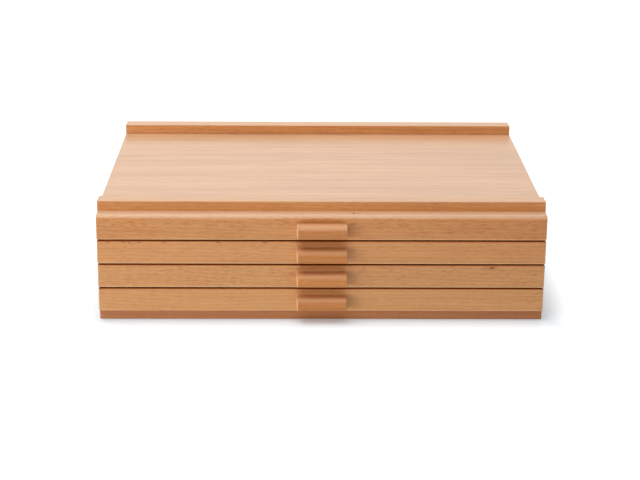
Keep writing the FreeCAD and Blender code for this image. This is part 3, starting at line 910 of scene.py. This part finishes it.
class Stage(bpy.types.Operator):
    """Set the floor, the lights and the camera"""
    bl_idname = "artbox.stage"
    bl_label = "Stage"

    def execute(self, context):
        look = context.scene.box_stage
        self.lay_floor(look)
        for name, power, place, aim, width, height in LIGHTS:
            self.hang_light(context, name, getattr(look, power), place, aim, width, height)
        self.light_surround(context, look)
        self.set_camera(context, look)
        context.scene.view_settings.view_transform = "Standard"
        return {"FINISHED"}

    def lay_floor(self, look):
        deselect()
        bpy.ops.mesh.primitive_plane_add(size=look.floor_size, location=(0.0, 0.0, -FLOOR_DROP))
        floor = bpy.context.active_object
        floor.name = "floor"
        finish = Finish("pale_floor")
        seen = finish.node("ShaderNodeLightPath", {}, {}, "Is Camera Ray")
        spot = finish.node("ShaderNodeTexCoord", {}, {}, "Object")
        reach = finish.node("ShaderNodeVectorMath", {"operation": "LENGTH"}, {0: spot}, "Value")
        finish.feed(Base_Color=finish.mix(reach.ramp(*TONE_REACH), NEAR_TONE, FAR_TONE), Roughness=0.9)
        low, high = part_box("base_panel")
        away_x, away_y = [
            (axis - 0.5 * (near + far)).absolute() - 0.5 * (far - near)
            for axis, near, far in zip(finish.axes(spot)[:2], low, high)]
        beside = away_x.maths("MAXIMUM", away_y).ramp(0.0, look.shadow_reach)
        around = beside * BESIDE_SHARE + reach.ramp(*WHITE_REACH) * (1.0 - BESIDE_SHARE)
        lift = around * (1.0 - look.floor_lift) + look.floor_lift
        glow = finish.node("ShaderNodeEmission", {}, {"Color": WHITE, "Strength": seen * lift})
        both = finish.node("ShaderNodeAddShader", {}, {0: Value(finish, finish.shader.outputs[0]), 1: glow})
        finish.put(finish.output.inputs["Surface"], both)
        dress(floor, finish.material)

    def hang_light(self, context, name, power, place, aim, width, height):
        lamp = bpy.data.lights.new(name, "AREA")
        lamp.shape = "RECTANGLE"
        lamp.size = width
        lamp.size_y = height
        lamp.energy = power
        holder = bpy.data.objects.new(name, lamp)
        context.scene.collection.objects.link(holder)
        holder.location = place
        holder.rotation_euler = (Vector(aim) - Vector(place)).to_track_quat("-Z", "Y").to_euler()

    def light_surround(self, context, look):
        """An even light that the camera and reflections see as white."""
        world = bpy.data.worlds.new("white_surround")
        context.scene.world = world
        world.use_nodes = True
        nodes = world.node_tree.nodes
        links = world.node_tree.links
        nodes.clear()
        path = nodes.new("ShaderNodeLightPath")
        seen = nodes.new("ShaderNodeMath")
        seen.operation = "MAXIMUM"
        links.new(path.outputs["Is Camera Ray"], seen.inputs[0])
        links.new(path.outputs["Is Glossy Ray"], seen.inputs[1])
        level = nodes.new("ShaderNodeMapRange")
        level.inputs["To Min"].default_value = look.sky_strength
        level.inputs["To Max"].default_value = 1.0
        links.new(seen.outputs[0], level.inputs["Value"])
        sky = nodes.new("ShaderNodeBackground")
        sky.inputs["Color"].default_value = WHITE
        links.new(level.outputs[0], sky.inputs["Strength"])
        out = nodes.new("ShaderNodeOutputWorld")
        links.new(sky.outputs[0], out.inputs["Surface"])

    def set_camera(self, context, look):
        """Stand the camera at the photograph's viewpoint, for a frame of 640 by 480."""
        camera = bpy.data.cameras.new("camera")
        camera.sensor_fit = "HORIZONTAL"
        camera.sensor_width = 36.0
        camera.lens = look.camera_lens
        holder = bpy.data.objects.new("camera", camera)
        context.scene.collection.objects.link(holder)
        pitch, yaw, roll = look.camera_pitch, look.camera_yaw, look.camera_roll
        right = Vector((math.cos(yaw), math.sin(yaw), 0.0))
        ahead = Vector((
            -math.sin(yaw) * math.cos(pitch), math.cos(yaw) * math.cos(pitch), -math.sin(pitch)))
        above = right.cross(ahead)
        leaned_right = right * math.cos(roll) + above * math.sin(roll)
        leaned_above = above * math.cos(roll) - right * math.sin(roll)
        turn = Matrix((leaned_right, leaned_above, -ahead)).transposed()
        holder.matrix_world = Matrix.Translation(Vector(look.camera_place)) @ turn.to_4x4()
        context.scene.camera = holder


STEPS = (CaseBoards, TopBoards, DrawerFronts, DrawerPulls, DrawerBoxes, Fasteners, Stage)


class BoxPanel(bpy.types.Panel):
    """Lists the steps in order, then the properties"""
    bl_idname = "VIEW3D_PT_artbox"
    bl_label = "Art supply box"
    bl_space_type = "VIEW_3D"
    bl_region_type = "UI"
    bl_category = "Art Box"

    def draw(self, context):
        for step in STEPS:
            self.layout.operator(step.bl_idname)
        for group in (context.scene.box_wood, context.scene.box_stage):
            for name in group.__annotations__:
                self.layout.prop(group, name)


CLASSES = (WoodLook, StageLook, *STEPS, BoxPanel)


def register():
    for item in CLASSES:
        bpy.utils.register_class(item)
    bpy.types.Scene.box_wood = PointerProperty(type=WoodLook)
    bpy.types.Scene.box_stage = PointerProperty(type=StageLook)


def unregister():
    del bpy.types.Scene.box_stage
    del bpy.types.Scene.box_wood
    for item in reversed(CLASSES):
        bpy.utils.unregister_class(item)


def main():
    register()
    bpy.ops.artbox.case_boards()
    bpy.ops.artbox.top_boards()
    bpy.ops.artbox.drawer_fronts()
    bpy.ops.artbox.drawer_pulls()
    bpy.ops.artbox.drawer_boxes()
    bpy.ops.artbox.fasteners()
    bpy.ops.artbox.stage()


if __name__ == "__main__":
    main()
